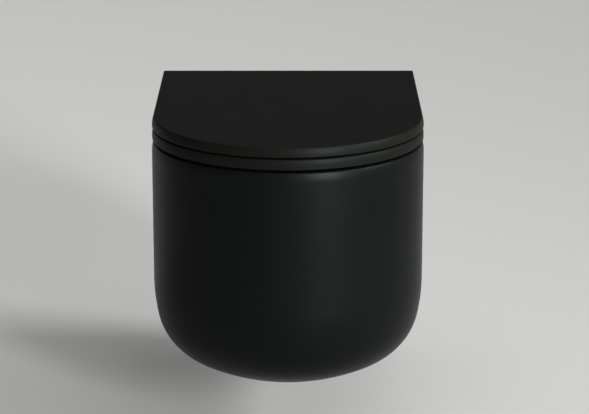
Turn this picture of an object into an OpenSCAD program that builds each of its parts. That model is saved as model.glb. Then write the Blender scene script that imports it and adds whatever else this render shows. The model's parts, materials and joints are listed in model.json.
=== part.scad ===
// Wall-hung toilet: a smooth D-shaped pan with a slim seat ring and a slim flat lid.
// The wall is the plane Y = 0, the front looks along -Y, X runs across and Z is up.
// The origin is the midpoint between the two wall bolts on the back face.

/* [Pan] */
// Width of the pan across its upright sides
pan_w = 361; // [352:1:372]
// Length of the pan from the wall to its front
pan_l = 488; // [478:1:520]
// Height of the rim above the wall bolts
rim_h = 80; // [78:1:86]
// Height of the upright part of the side, below the rim
side_h = 188; // [180:1:194]
// Radius of the shallow curve that starts the underside
upper_turn_r = 242; // [225:1:260]
// Angle that the shallow curve turns through
upper_turn = 12; // [10:1:14]
// Radius of the tight curve of the underside
lower_turn_r = 80; // [74:1:86]
// Angle at which the tight curve ends and the belly begins
lower_turn = 62; // [60:1:64]
// Thickness of the outer skin
skin = 11; // [10:0.5:13]
// Thickness of the rim and of the deck behind the bowl
rim_t = 22; // [20:1:24]
// Rounding of the rim's outer edge
rim_edge_r = 2.5; // [1:0.5:4]
// Radius of the crowned shoulder below the rim's edge
rim_crown_r = 46; // [38:1:54]
// Tilt at which the shoulder meets the rim's edge
rim_crown = 15; // [12:1:18]

/* [Bowl] */
// Width of the bowl's mouth
bowl_w = 276; // [268:1:284]
// Distance from the wall to the back of the bowl's mouth
bowl_back = 110; // [106:1:116]
// Thickness of the bowl's wall
bowl_t = 10; // [8:0.5:11]
// Height of the plain lip under the rim
lip_h = 14; // [10:1:16]
// Depth of the flush channel under the lip
channel_d = 6; // [4:0.5:7]
// Half width of the basin below the channel
basin_r = 128; // [122:1:130]
// Depth of the basin from the flush channel's ledge
basin_depth = 118; // [112:1:122]
// Inner radius of the sump
sump_r = 54; // [50:1:56]
// Distance from the wall to the sump's centre
sump_back = 250; // [246:1:256]

/* [Trap and outlet] */
// Inner radius of the trapway
trap_r = 30; // [27:0.5:31]
// Wall thickness of the trapway
trap_t = 9; // [8:0.5:10]
// Gap between the trapway's throat and the skin below it
throat_gap = 13.9; // [12:0.1:16]
// Height of the trap's crown above the outlet
crown_rise = 28; // [27:0.5:30]
// Bend radius at the throat
throat_bend_r = 55; // [52:1:58]
// Bend radius at the crown
crown_bend_r = 45; // [43:0.5:47]
// Height of the wall bolts above the outlet's centre
outlet_drop = 100; // [98:0.5:102]
// Outer diameter of the outlet spigot
spigot_d = 102; // [98:1:104]
// Inner diameter of the outlet spigot
spigot_bore = 84; // [80:1:86]
// Length of the outlet spigot
spigot_l = 38; // [34:1:40]

/* [Inlet] */
// Height of the flush inlet's centre above the wall bolts
inlet_rise = 35; // [33:0.5:37]
// Bore of the inlet horn
inlet_bore = 55; // [53:0.5:57]
// Wall thickness of the inlet horn
inlet_t = 9; // [7:0.5:10]
// Diameter of the flush pipe that the inlet seal takes
flush_pipe_d = 45; // [44:0.5:46]
// Diameter of the water way from the horn to the bowl
water_way_d = 40; // [36:1:42]

/* [Wall fixing] */
// Distance between the two wall bolts
bolt_spacing = 180; // [178:1:230]
// Diameter of the wall bolts
bolt_d = 12; // [10:1:14]
// Diameter of the bolt holes in the pan
bolt_hole_d = 20; // [19:0.5:22]
// Thickness of the fixing webs at the back of the pan
web_t = 20; // [16:1:24]
// Height of the fixing webs
web_h = 52; // [44:1:56]
// Diameter of the access holes in the sides
access_d = 25; // [22:0.5:27]
// Distance from the wall to the access holes
access_back = 42; // [40:1:50]

/* [Seat and lid] */
// How far the seat and the lid lie inside the pan's outline
cover_inset = 0.5; // [0:0.25:2]
// Distance from the wall to the lid's back edge
lid_back = 41; // [40.9:0.05:41.5]
// Distance from the wall to the seat's back edge
seat_back = 44; // [43.5:0.25:46]
// Gap between the pan and the seat
seat_gap = 3.5; // [3:0.1:4]
// Thickness of the seat
seat_t = 13.7; // [13:0.1:14.5]
// Gap between the seat and the lid
lid_gap = 2.4; // [2:0.1:3]
// Thickness of the lid
lid_t = 12.7; // [11.5:0.1:14]
// Rounding of the lid's and seat's upper edges
cover_edge_r = 2; // [1:0.25:3]
// Rounding of the lid's and seat's lower edges
cover_foot_r = 1; // [0.5:0.25:1.5]
// Radius of the lid's crowned side
lid_crown_r = 24; // [16:1:26]
// Tilt at which the lid's side meets its upper edge
lid_crown = 22; // [16:1:23]
// Radius of the seat's crowned side
seat_crown_r = 20; // [14:1:26]
// Tilt at which the seat's side meets its upper edge
seat_crown = 18; // [14:1:22]
// Width of the opening in the seat
seat_hole_w = 226; // [216:1:236]
// Distance from the wall to the back of the seat's opening
seat_hole_back = 133; // [130:1:138]

/* [Buffers] */
// Half width of a seat buffer
seat_buffer_r = 7; // [5:0.5:8]
// Distance between the round ends of a seat buffer
seat_buffer_run = 22; // [16:1:28]
// Radius of a lid buffer
lid_buffer_r = 6; // [4.5:0.5:7]
// Depth to which buffers are let into the seat and the lid
buffer_socket = 2; // [1.5:0.25:2.5]

/* [Hinges] */
// Distance between the two hinge fixings
hinge_spacing = 155; // [150:1:165]
// Distance from the wall to the hinge fixings
stud_back = 57; // [56.5:0.25:57.5]
// Distance from the wall to the hinge axis
axis_back = 33; // [32.8:0.05:33.1]
// Height of the hinge axis above the deck
axis_rise = 20; // [19.9:0.05:20.1]
// Diameter of the hinge holes in the deck
hinge_hole_d = 15; // [14:0.25:16]
// Radius of the hinge barrels
barrel_r = 7.5; // [7:0.1:7.6]
// Diameter of the hinge pins and damper shafts
pin_d = 6; // [5:0.25:6.5]
// Diameter of the damper cartridges
damper_d = 11; // [10:0.25:11.5]
// Length of the damper cartridges
damper_l = 31; // [28:1:34]
// Width of the hinge bodies
post_w = 24; // [23:0.5:26]
// Width of a plain hinge arm's barrel
arm_w = 11; // [9:0.5:12]
// Travel of the release buttons
release_travel = 5; // [4.8:0.1:5.2]
// Diameter of the hinge studs
stud_d = 8; // [7:0.25:9]
// Thickness of the hinge base plates
plate_t = 2.5; // [2:0.1:2.7]
// Thickness of the gaskets under the base plates
gasket_t = 1; // [0.8:0.1:1.2]

/* [Hidden] */
$fn = 64;
// Radial play of a pin that turns in its bore
running = 0.05;
// Side play between a hinge body and the arms beside it
side_play = 0.5;
// Play of a piece that is let loosely into a hole or pocket
loose = 0.3;
// How far a cut runs past the face that it opens
past = 1;

// Outline of the pan, seen along Y, as three arcs that run into each other
half_w = pan_w / 2;
nose_y = half_w - pan_l;
function slant(a) = [cos(a), -sin(a)];
side_foot = rim_h - side_h;
turn_a = [half_w - upper_turn_r, side_foot];
turn_b = turn_a + (upper_turn_r - lower_turn_r) * slant(upper_turn);
belly_r = lower_turn_r + turn_b[0] / cos(lower_turn);
turn_c = [0, turn_b[1] + (belly_r - lower_turn_r) * sin(lower_turn)];
underside_z = turn_c[1] - belly_r;

// Heights of the seat and the lid
seat_z = rim_h + seat_gap;
seat_top = seat_z + seat_t;
lid_z = seat_top + lid_gap;
lid_top = lid_z + lid_t;
cover_half_w = half_w - cover_inset;

// Bowl
deck_z = rim_h - rim_t;
bowl_r = bowl_w / 2;
bowl_y = -bowl_back - bowl_r;
channel_top = rim_h - lip_h;
channel_slope = 8;
channel_h = 14;
ledge_drop = 14;
basin_z = channel_top - channel_slope - channel_h - ledge_drop;
shoulder_rise = 8;
shoulder_drop = 4;
mouth_y = -bowl_back;
sump_y = -sump_back;

// Trapway, in the plane X = 0, worked back from the outlet: slopes of its riser and its fall
rise = 60;
fall = 45;
lead_y = -24;
throat_z = underside_z + skin + throat_gap + trap_t + trap_r;
sump_rise = 22;
sump_z = throat_z + sump_rise;
outlet_z = -outlet_drop;
fall_bend_r = crown_rise / (1 - cos(fall)) - crown_bend_r;
fall_centre = [lead_y, outlet_z + fall_bend_r];
fall_start = [lead_y - fall_bend_r * sin(fall), outlet_z + fall_bend_r * (1 - cos(fall))];
crown_centre = fall_start - crown_bend_r * [sin(fall), cos(fall)];
crown_start = crown_centre + crown_bend_r * [-sin(rise), cos(rise)];
riser_z = throat_z + throat_bend_r * (1 - cos(rise));
riser_y = crown_start[0] - (crown_start[1] - riser_z) / tan(rise);
throat_y = riser_y - throat_bend_r * sin(rise);
spigot_end = -2;
spigot_start = spigot_end - spigot_l;
spigot_floor = 7;

// Inlet
horn_end = -2;
horn_depth = 50;
horn_root = 4;
water_way_root = 30;
seal_l = 30;
seal_flange = 5;
distributor_l = 30;
distributor_t = 2.5;
distributor_front = mouth_y - distributor_l / 2;
distributor_back = mouth_y + distributor_l / 2;
slot_l = 6;
slot_h = 12;

// Wall fixing
bolt_x = bolt_spacing / 2;
web_margin = 26;
sleeve_flange_t = 2;
sleeve_flange = 4;
sleeve_play = 0.5;
washer_t = 2.5;
washer_d = 30;
washer_play = 0.7;
nut_t = 10;
nut_across = 19;
thread_play = 0.1;
cap_r = access_d / 2 + 2.5;
cap_t = 2;
cap_stub = 9;
cap_wall = 2;

// Hinges: u is the distance from the middle plane
hinge_u = hinge_spacing / 2;
stud_y = -stud_back;
stud_end = deck_z - 20;
axis_y = -axis_back;
axis_z = rim_h + axis_rise;
plate_z = rim_h + gasket_t;
collar_z = plate_z + 0.5;
collar_play = 0.2;
gasket_rim = 0.5;
bush_play = 0.2;
bush_l = 11.5;
bush_rim = 2.5;
cone_z = deck_z - 18.5;
cone_h = 7;
cone_d = [stud_d + 4, stud_d + 9];
foot_z = plate_z + plate_t;
foot_h = 6.5;
foot_top = foot_z + foot_h;
foot_roof = 1.2;
foot_reach = 23;
foot_front = stud_y - foot_reach;
foot_back = axis_y + 5.5;
plate_back = foot_back + 2;
stem_d = 11;
post_in = hinge_u - post_w / 2;
post_out = hinge_u + post_w / 2;
pocket_w = 17.6;
pocket_reach = 21;
pocket_back = stud_y + pocket_reach;
neck_d = 6;
head_d = 10;
slide_z = foot_z + 0.4;
slide_t = 2;
slide_w = pocket_w - 0.8;
slide_back = stud_y + 11;
head_z = slide_z + slide_t + 0.3;
head_t = 2.2;
head_bevel = 0.8;
button_proud = 4;
button_h = 4.6;
button_front = foot_front - button_proud;
button_back = stud_y - 13;
spring_seat = 4;
spring_r = 1.7;
spring_wire = 0.35;
spring_end_gap = 0.15;
spring_turns = 6;
spring_z = slide_z + 2.3;
seat_arm_out = post_in - side_play;
lid_arm_in = post_out + side_play;
housing_l = damper_l + 5;
housing_wall = 2;
housing_play = 0.1;
housing_bore_r = damper_d / 2 + housing_play;
cap_plug = 2;
arm_plate_t = 3.5;
arm_plate_front = -98;
seat_arm_flange = 7.5;
lid_arm_flange = 10;
arm_screw_y = [-66, -88];
screw_d = 4;
screw_l = 9;
screw_play = 0.1;
pin_grip = 7;
shaft_grip = 9;
shaft_l = 27;
shaft_end_gap = 0.5;
pin_head_t = 1.2;
pin_head_d = 9;

// Points of an arc, counted clockwise from the +X side
function arc(c, r, from, to, n) = [for (i = [0 : n]) c + r * slant(from + (to - from) * i / n)];
function tail(list) = [for (i = [1 : len(list) - 1]) list[i]];
function mirrored(half) = concat(half, [for (i = [len(half) - 2 : -1 : 1]) [-half[i][0], half[i][1]]]);

// Upper corner of a section: a rounded edge that runs into a crowned side, upright where it ends at x
function shoulder(x, top, edge, crown_r, crown) =
    let (
        side = [x - crown_r, top - edge - (crown_r - edge) * sin(crown)],
        corner = side + (crown_r - edge) * slant(-crown)
    )
    concat(arc(corner, edge, -90, -crown, 3), tail(arc(side, crown_r, -crown, 0, 3)));

// Half section of the pan, drawn in by inset, with its shoulder where its edge is rounded
function pan_half(inset, top, edge) = concat(
    [[0, top]],
    edge > 0 ? shoulder(half_w - inset, top, edge, rim_crown_r, rim_crown) : [[half_w - inset, top]],
    arc(turn_a, upper_turn_r - inset, 0, upper_turn, 3),
    tail(arc(turn_b, lower_turn_r - inset, upper_turn, lower_turn, 10)),
    tail(arc(turn_c, belly_r - inset, lower_turn, 90, 7))
);

// Half section of the bowl's inside, and of its outside when grown by the wall
function quarter(a, b, z, n) = [for (i = [0 : n]) [a * cos(90 * i / n), z - b * sin(90 * i / n)]];
function bowl_inside() = concat(
    [
        [0, rim_h + past],
        [bowl_r, rim_h + past],
        [bowl_r, channel_top],
        [bowl_r + channel_d, channel_top - channel_slope],
        [bowl_r + channel_d, channel_top - channel_slope - channel_h]
    ],
    quarter(basin_r, basin_depth, basin_z, 12)
);
function bowl_outside() = concat(
    [
        [0, deck_z],
        [bowl_r + channel_d + bowl_t, deck_z],
        [bowl_r + channel_d + bowl_t, basin_z + shoulder_rise]
    ],
    quarter(basin_r + bowl_t, basin_depth + bowl_t, basin_z - shoulder_drop, 12)
);

// Half section of the sump, with a round bottom
function sump_half(r, top) = concat([[0, top], [r, top]], arc([0, sump_z], r, 0, 90, 8));

// Half section of a flat cover with a crowned side and a rounded lower edge
function cover_half(r, low, high, crown_r, crown) = concat(
    [[0, high]],
    shoulder(r, high, cover_edge_r, crown_r, crown),
    arc([r - cover_foot_r, low + cover_foot_r], cover_foot_r, 0, 90, 3),
    [[0, low]]
);

// A half section swept round the front and straight back to the given Y
module d_sweep(half, back) {
    translate([0, nose_y, 0])
        rotate([0, 0, 180])
            rotate_extrude(angle = 180, $fn = 96) polygon(half);
    translate([0, back, 0])
        rotate([90, 0, 0])
            linear_extrude(back - nose_y) polygon(mirrored(half));
}

// A half section swept round two half circles and along the straight between them
module stadium_sweep(half, front, back) {
    translate([0, front, 0])
        rotate([0, 0, 180])
            rotate_extrude(angle = 180, $fn = 96) polygon(half);
    translate([0, back, 0]) {
        rotate([90, 0, 0])
            linear_extrude(back - front) polygon(mirrored(half));
        rotate_extrude(angle = 180, $fn = 96) polygon(half);
    }
}

// A round bar along X between u1 and u2
module bar_x(r, u1, u2, y, z) {
    translate([min(u1, u2), y, z])
        rotate([0, 90, 0])
            cylinder(h = abs(u2 - u1), r = r);
}

// A round bar along Y, from y1 to y2
module bar_y(r, x, z, y1, y2) {
    translate([x, y2, z])
        rotate([90, 0, 0])
            cylinder(h = y2 - y1, r = r);
}

// A block between two corners
module block(low, high) {
    translate(low) cube(high - low);
}

module both_sides() {
    for (s = [0, 1]) mirror([s, 0, 0]) children();
}

module left_side() {
    mirror([1, 0, 0]) children();
}

// Stations along the trapway's centre line, each [y, z, heading]
function turned(centre, r, from, to) = [
    for (i = [0 : ceil(abs(to - from) / 15)])
        let (h = from + (to - from) * i / ceil(abs(to - from) / 15), side = to > from ? 1 : -1)
            [centre[0] + side * r * sin(h), centre[1] - side * r * cos(h), h]
];
trap_stations = concat(
    [[sump_y, throat_z, 0]],
    turned([throat_y, throat_z + throat_bend_r], throat_bend_r, 0, rise),
    turned(crown_centre, crown_bend_r, rise, -fall),
    tail(turned(fall_centre, fall_bend_r, -fall, 0))
);

// A closed tube of rings joined by triangles, from points listed ring by ring
module ringed_tube(points, sides) {
    last = len(points) / sides - 1;
    base = last * sides;
    walls = [
        for (i = [0 : last - 1]) for (j = [0 : sides - 1])
            let (k = (j + 1) % sides, a = i * sides, b = (i + 1) * sides)
                each [[a + j, b + j, b + k], [a + j, b + k, a + k]]
    ];
    start = [for (j = [1 : sides - 2]) [0, j, j + 1]];
    end = [for (j = [1 : sides - 2]) [base, base + j + 1, base + j]];
    polyhedron(points = points, faces = concat(walls, start, end));
}

// A tube swept along the trapway at the given radius
module trap_tube(r) {
    sides = 24;
    ringed_tube([
        for (s = trap_stations) for (j = [0 : sides - 1])
            let (a = 360 * j / sides)
                [r * sin(a), s[0] - r * cos(a) * sin(s[2]), s[1] + r * cos(a) * cos(s[2])]
    ], sides);
}

// The casting is drawn as five pieces that meet face to face: the pan's upright part, its underside,
// the bowl, the trapway and the inlet horn
casting_color = [0.13, 0.13, 0.125];

// The bowl and the sump as a full solid
module bowl_solid() {
    stadium_sweep(bowl_outside(), nose_y, bowl_y);
    translate([0, sump_y, 0])
        rotate_extrude() polygon(sump_half(sump_r + bowl_t, basin_z - basin_depth / 2));
}

// The space inside the bowl and the sump
module bowl_space() {
    stadium_sweep(bowl_inside(), nose_y, bowl_y);
    translate([0, sump_y, 0])
        rotate_extrude() polygon(sump_half(sump_r, basin_z - basin_depth / 2));
}

// The ways bored along the inlet: for the seal and its flange, and for the water
module inlet_ways() {
    bar_y(inlet_bore / 2, 0, inlet_rise, horn_end - horn_depth, past);
    bar_y(inlet_bore / 2 + seal_flange + loose, 0, inlet_rise, horn_end, past);
    bar_y(water_way_d / 2, 0, inlet_rise, mouth_y - water_way_root, 0);
}

// Outer skin of the casting, with the rim and the deck behind the bowl
module whole_skin() {
    difference() {
        d_sweep(pan_half(0, rim_h, rim_edge_r), 0);
        d_sweep(pan_half(skin, deck_z, 0), past);
    }
}

// The space below the upright sides
module below_sides() {
    block([-half_w - past, -pan_l - past, -pan_l], [half_w + past, past, side_foot]);
}

// Rim, deck and upright sides, with the two fixing webs
module pan() {
    color(casting_color)
    difference() {
        union() {
            whole_skin();
            both_sides()
                block([bolt_x - web_margin, -web_t, -web_h / 2], [half_w - skin / 2, 0, web_h / 2]);
        }
        below_sides();
        stadium_sweep(bowl_inside(), nose_y, bowl_y);
        inlet_ways();
        both_sides() {
            bar_y(bolt_hole_d / 2, bolt_x, 0, -web_t - past, past);
            translate([hinge_u, stud_y, deck_z - past])
                cylinder(h = rim_t + 2 * past, d = hinge_hole_d);
            bar_x(access_d / 2, half_w - skin - past, half_w + past, -access_back, 0);
            bar_x(cap_r, half_w - cap_t, half_w + past, -access_back, 0);
        }
    }
}

// Rounded underside of the skin, with its back open
module underside() {
    color(casting_color)
    intersection() {
        whole_skin();
        below_sides();
    }
}

// Wall of the bowl and the sump, up to the underside of the rim
module bowl() {
    color(casting_color)
    difference() {
        bowl_solid();
        bowl_space();
        trap_tube(trap_r);
        inlet_ways();
    }
}

// Trapway from the sump over the crown to the outlet spigot
module trapway() {
    color(casting_color)
    difference() {
        union() {
            trap_tube(trap_r + trap_t);
            bar_y(spigot_d / 2, 0, outlet_z, spigot_start, spigot_end);
        }
        bowl_solid();
        trap_tube(trap_r);
        bar_y(spigot_bore / 2, 0, outlet_z, spigot_start + spigot_floor, past);
    }
}

// Horn that takes the seal of the flush pipe, under the deck
module inlet_horn() {
    color(casting_color)
    difference() {
        bar_y(inlet_bore / 2 + inlet_t, 0, inlet_rise, mouth_y - horn_root, horn_end);
        bowl_solid();
        block([-bowl_r, mouth_y - horn_root - past, deck_z], [bowl_r, past, rim_h]);
        inlet_ways();
    }
}

// Plastic sleeve in the water way that spreads the flush into the channel
module flush_distributor() {
    inside_y = distributor_front + distributor_t;
    color([0.2, 0.2, 0.2])
    difference() {
        bar_y(water_way_d / 2 - loose, 0, inlet_rise, distributor_front, distributor_back);
        bar_y(water_way_d / 2 - loose - distributor_t, 0, inlet_rise, inside_y, distributor_back + past);
        both_sides()
            block([water_way_d / 4, inside_y, inlet_rise - slot_h / 2],
                [water_way_d, inside_y + slot_l, inlet_rise + slot_h / 2]);
    }
}

// Rubber seal for the flush pipe, with a flange on the horn's end
module inlet_seal() {
    color([0.09, 0.09, 0.09])
    difference() {
        union() {
            bar_y(inlet_bore / 2 - running, 0, inlet_rise, horn_end - seal_l, horn_end);
            bar_y(inlet_bore / 2 + seal_flange, 0, inlet_rise, horn_end, 0);
        }
        bar_y(flush_pipe_d / 2 + running, 0, inlet_rise, horn_end - seal_l - past, past);
    }
}

// Plastic guides in the two bolt holes
module wall_sleeves() {
    color([0.85, 0.85, 0.83])
    both_sides()
        difference() {
            union() {
                bar_y(bolt_hole_d / 2 - loose, bolt_x, 0, -web_t, 0);
                bar_y(bolt_hole_d / 2 + sleeve_flange, bolt_x, 0, -web_t - sleeve_flange_t, -web_t);
            }
            bar_y(bolt_d / 2 + sleeve_play, bolt_x, 0, -web_t - sleeve_flange_t - past, past);
        }
}

module wall_washers() {
    washer_y = -web_t - sleeve_flange_t;
    color([0.72, 0.73, 0.75])
    both_sides()
        difference() {
            bar_y(washer_d / 2, bolt_x, 0, washer_y - washer_t, washer_y);
            bar_y(bolt_d / 2 + washer_play, bolt_x, 0, washer_y - washer_t - past, washer_y + past);
        }
}

module wall_nuts() {
    nut_y = -web_t - sleeve_flange_t - washer_t;
    color([0.66, 0.67, 0.7])
    both_sides()
        difference() {
            translate([bolt_x, nut_y, 0])
                rotate([90, 0, 0])
                    cylinder(h = nut_t, r = nut_across / 2 / cos(30), $fn = 6);
            bar_y(bolt_d / 2 + thread_play, bolt_x, 0, nut_y - nut_t - past, nut_y + past);
        }
}

// Caps that close the access holes in the pan's sides
module side_caps() {
    face_u = half_w - cap_t;
    color([0.14, 0.14, 0.135])
    both_sides() {
        bar_x(cap_r - loose, face_u, half_w, -access_back, 0);
        difference() {
            bar_x(access_d / 2 - loose, face_u - cap_stub, face_u, -access_back, 0);
            bar_x(access_d / 2 - loose - cap_wall, face_u - cap_stub - past, face_u, -access_back, 0);
        }
    }
}

// Outline of a base plate, shared by its gasket
module plate_outline(grow, z, t) {
    block([post_in - grow, foot_front - grow, z], [post_out + grow, plate_back, z + t]);
}

module deck_gaskets() {
    color([0.1, 0.1, 0.1])
    both_sides()
        difference() {
            plate_outline(gasket_rim, rim_h, gasket_t);
            translate([hinge_u, stud_y, rim_h - past])
                cylinder(h = gasket_t + 2 * past, d = hinge_hole_d - 1);
        }
}

module base_plates() {
    hole_r = stud_d / 2 + collar_play;
    color([0.7, 0.71, 0.73])
    both_sides()
        difference() {
            plate_outline(0, plate_z, plate_t);
            translate([hinge_u, stud_y, plate_z - past])
                cylinder(h = plate_t + 2 * past, r = hole_r);
            translate([hinge_u, stud_y, collar_z])
                cylinder(h = plate_t, r1 = hole_r, r2 = hole_r + plate_t);
        }
}

// Threaded studs with a collar in the base plate and a mushroom head for the latch
module hinge_studs() {
    color([0.75, 0.76, 0.78])
    both_sides()
        translate([hinge_u, stud_y, 0]) {
            translate([0, 0, stud_end])
                cylinder(h = collar_z - stud_end, d = stud_d);
            translate([0, 0, collar_z])
                cylinder(h = foot_z - collar_z, r1 = stud_d / 2, r2 = stud_d / 2 + foot_z - collar_z);
            translate([0, 0, foot_z])
                cylinder(h = head_z - foot_z, d = neck_d);
            translate([0, 0, head_z])
                cylinder(h = head_t, r1 = head_d / 2, r2 = head_d / 2 - head_bevel);
        }
}

// Rubber bushes that swell under the deck when the studs are tightened
module expander_bushes() {
    color([0.12, 0.12, 0.12])
    both_sides()
        translate([hinge_u, stud_y, deck_z])
            difference() {
                union() {
                    translate([0, 0, -bush_l])
                        cylinder(h = rim_t + bush_l, r = hinge_hole_d / 2 - bush_play);
                    translate([0, 0, -bush_l])
                        cylinder(h = bush_l - bush_play, r = hinge_hole_d / 2 + bush_rim);
                }
                translate([0, 0, -bush_l - past])
                    cylinder(h = rim_t + bush_l + 2 * past, r = stud_d / 2 + thread_play);
            }
}

// Cone nuts that draw the bushes up
module cone_nuts() {
    color([0.62, 0.62, 0.6])
    both_sides()
        translate([hinge_u, stud_y, cone_z])
            difference() {
                cylinder(h = cone_h, d1 = cone_d[0], d2 = cone_d[1]);
                translate([0, 0, -past]) cylinder(h = cone_h + 2 * past, r = stud_d / 2 + thread_play / 2);
            }
}

// Foot with the latch pocket, and the post that holds the hinge axis
module hinge_body() {
    difference() {
        union() {
            block([post_in, foot_front, foot_z], [post_out, foot_back, foot_top]);
            block([post_in, axis_y - stem_d / 2, foot_z], [post_out, foot_back, axis_z]);
            bar_x(barrel_r, post_in, post_out, axis_y, axis_z);
        }
        block([hinge_u - pocket_w / 2, foot_front - past, foot_z - past],
            [hinge_u + pocket_w / 2, pocket_back, foot_top - foot_roof]);
        bar_x(pin_d / 2 + running, post_in - past, post_out + past, axis_y, axis_z);
    }
}

module left_hinge_body() {
    color([0.16, 0.16, 0.16]) left_side() hinge_body();
}

module right_hinge_body() {
    color([0.16, 0.16, 0.16]) hinge_body();
}

// Pin with a flat head, for the side of a hinge that has no damper
module pivot_pin(head, end) {
    outward = head < end ? -1 : 1;
    bar_x(pin_d / 2, head, end, axis_y, axis_z);
    bar_x(pin_head_d / 2, head, head + outward * pin_head_t, axis_y, axis_z);
}

module seat_pivot_pin() {
    color([0.78, 0.79, 0.8])
        left_side() pivot_pin(seat_arm_out - arm_w - side_play, post_in + pin_grip);
}

module lid_pivot_pin() {
    color([0.78, 0.79, 0.8])
        pivot_pin(lid_arm_in + arm_w + side_play, post_out - pin_grip);
}

// Damper shafts, held in the hinge bodies
module lid_damper_shaft() {
    shaft_end = lid_arm_in + housing_wall + shaft_grip;
    color([0.78, 0.79, 0.8])
        left_side() bar_x(pin_d / 2, shaft_end - shaft_l, shaft_end, axis_y, axis_z);
}

module seat_damper_shaft() {
    shaft_end = seat_arm_out - housing_wall - shaft_grip;
    color([0.78, 0.79, 0.8])
        bar_x(pin_d / 2, shaft_end, shaft_end + shaft_l, axis_y, axis_z);
}

// Sliding latch plate with a keyhole for the stud, and the button at its front
module release_button() {
    left = hinge_u - slide_w / 2;
    right = hinge_u + slide_w / 2;
    difference() {
        union() {
            block([left, button_front, slide_z], [right, slide_back, slide_z + slide_t]);
            block([left, button_front, slide_z], [right, button_back, slide_z + button_h]);
            block([hinge_u - slide_w / 4, slide_back - spring_seat, slide_z],
                [hinge_u + slide_w / 4, slide_back, slide_z + button_h]);
        }
        translate([hinge_u, stud_y, slide_z - past])
            cylinder(h = slide_t + 2 * past, d = neck_d + 2 * loose);
        block([hinge_u - neck_d / 2 - loose, stud_y - release_travel, slide_z - past],
            [hinge_u + neck_d / 2 + loose, stud_y, slide_z + slide_t + past]);
        translate([hinge_u, stud_y - release_travel, slide_z - past])
            cylinder(h = slide_t + 2 * past, d = head_d + 2 * loose);
    }
}

module left_release_button() {
    color([0.22, 0.22, 0.22]) left_side() release_button();
}

module right_release_button() {
    color([0.22, 0.22, 0.22]) release_button();
}

// Coil spring behind the latch plate, as one tube along a helix
module release_spring() {
    sides = 6;
    steps = 8 * spring_turns;
    from = slide_back + spring_wire + spring_end_gap;
    to = pocket_back - spring_wire - spring_end_gap;
    ringed_tube([
        for (i = [0 : steps]) for (j = [0 : sides - 1])
            let (
                t = 360 * spring_turns * i / steps,
                a = 360 * j / sides,
                r = spring_r + spring_wire * cos(a),
                y = from + (to - from) * i / steps + spring_wire * sin(a)
            )
                [hinge_u + r * cos(t), y, spring_z + r * sin(t)]
    ], sides);
}

module left_release_spring() {
    color([0.7, 0.7, 0.72]) left_side() release_spring();
}

module right_release_spring() {
    color([0.7, 0.7, 0.72]) release_spring();
}

// A flat D-shaped cover with a crowned side, and a back edge with rounded corners
module cover(low, high, back, crown_r, crown) {
    edge_y = -back;
    intersection() {
        d_sweep(cover_half(cover_half_w, low, high, crown_r, crown), edge_y + past);
        translate([-half_w - past, 0, 0])
            rotate([90, 0, 90])
                linear_extrude(pan_w + 2 * past)
                    polygon(concat(
                        [[-pan_l - past, high]],
                        arc([edge_y - cover_edge_r, high - cover_edge_r], cover_edge_r, -90, 0, 4),
                        arc([edge_y - cover_foot_r, low + cover_foot_r], cover_foot_r, 0, 90, 3),
                        [[-pan_l - past, low]]
                    ));
    }
}

// Recess under the seat for a hinge body and its button
recess_side = 1;
recess_front = 4;
recess_top = 0.6;

// Places of the buffers: along the front of the ring, and beside its opening
pad_play = 0.1;
seat_land_r = (bowl_r + half_w) / 2;
seat_buffer_turn = 36;
rear_buffer_x = 158;
rear_buffer_y = -170;
lid_land_r = (seat_hole_w / 2 + cover_half_w) / 2;
lid_buffer_turn = 28;
lid_rear_x = 140;
lid_rear_y = -95;

// Children at the front buffer place at the given radius and turn
module at_front(r, turn) {
    translate([0, nose_y, 0])
        rotate([0, 0, turn])
            translate([0, -r, 0]) children();
}

// A pad with round ends, long along X
module pad(r, run_l, z1, z2) {
    for (s = [-1, 1]) translate([s * run_l / 2, 0, z1]) cylinder(h = z2 - z1, r = r);
    block([-run_l / 2, -r, z1], [run_l / 2, r, z2]);
}

module seat_front_pads(grow, z2) {
    both_sides()
        at_front(seat_land_r, seat_buffer_turn) pad(seat_buffer_r + grow, seat_buffer_run, rim_h, z2);
}

module seat_rear_pads(grow, z2) {
    both_sides()
        translate([rear_buffer_x, rear_buffer_y, 0])
            rotate([0, 0, 90]) pad(seat_buffer_r + grow, seat_buffer_run, rim_h, z2);
}

module lid_front_pads(r, z2) {
    both_sides()
        at_front(lid_land_r, lid_buffer_turn)
            translate([0, 0, seat_top]) cylinder(h = z2 - seat_top, r = r);
}

module lid_rear_pads(r, z2) {
    both_sides()
        translate([lid_rear_x, lid_rear_y, seat_top]) cylinder(h = z2 - seat_top, r = r);
}

// Where the arm plates begin and their screws stand, as distances from the middle plane
seat_screw_u = seat_arm_out - arm_w;
seat_arm_in = seat_screw_u - seat_arm_flange;
lid_screw_u = lid_arm_in + arm_w;
lid_arm_out = lid_screw_u + lid_arm_flange;

// Round holes at the places of an arm's screws
module screw_holes(u, z, depth, play) {
    for (y = arm_screw_y) translate([u, y, z]) cylinder(h = depth, r = screw_d / 2 + play);
}

// Countersunk holes for the screws, through an arm's plate
module arm_screw_holes(u, z) {
    screw_holes(u, z - past, arm_plate_t + 2 * past, 2 * screw_play);
    for (y = arm_screw_y)
        translate([u, y, z])
            cylinder(h = screw_d / 2, r1 = screw_d + 2 * screw_play, r2 = screw_d / 2 + 2 * screw_play);
}

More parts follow.
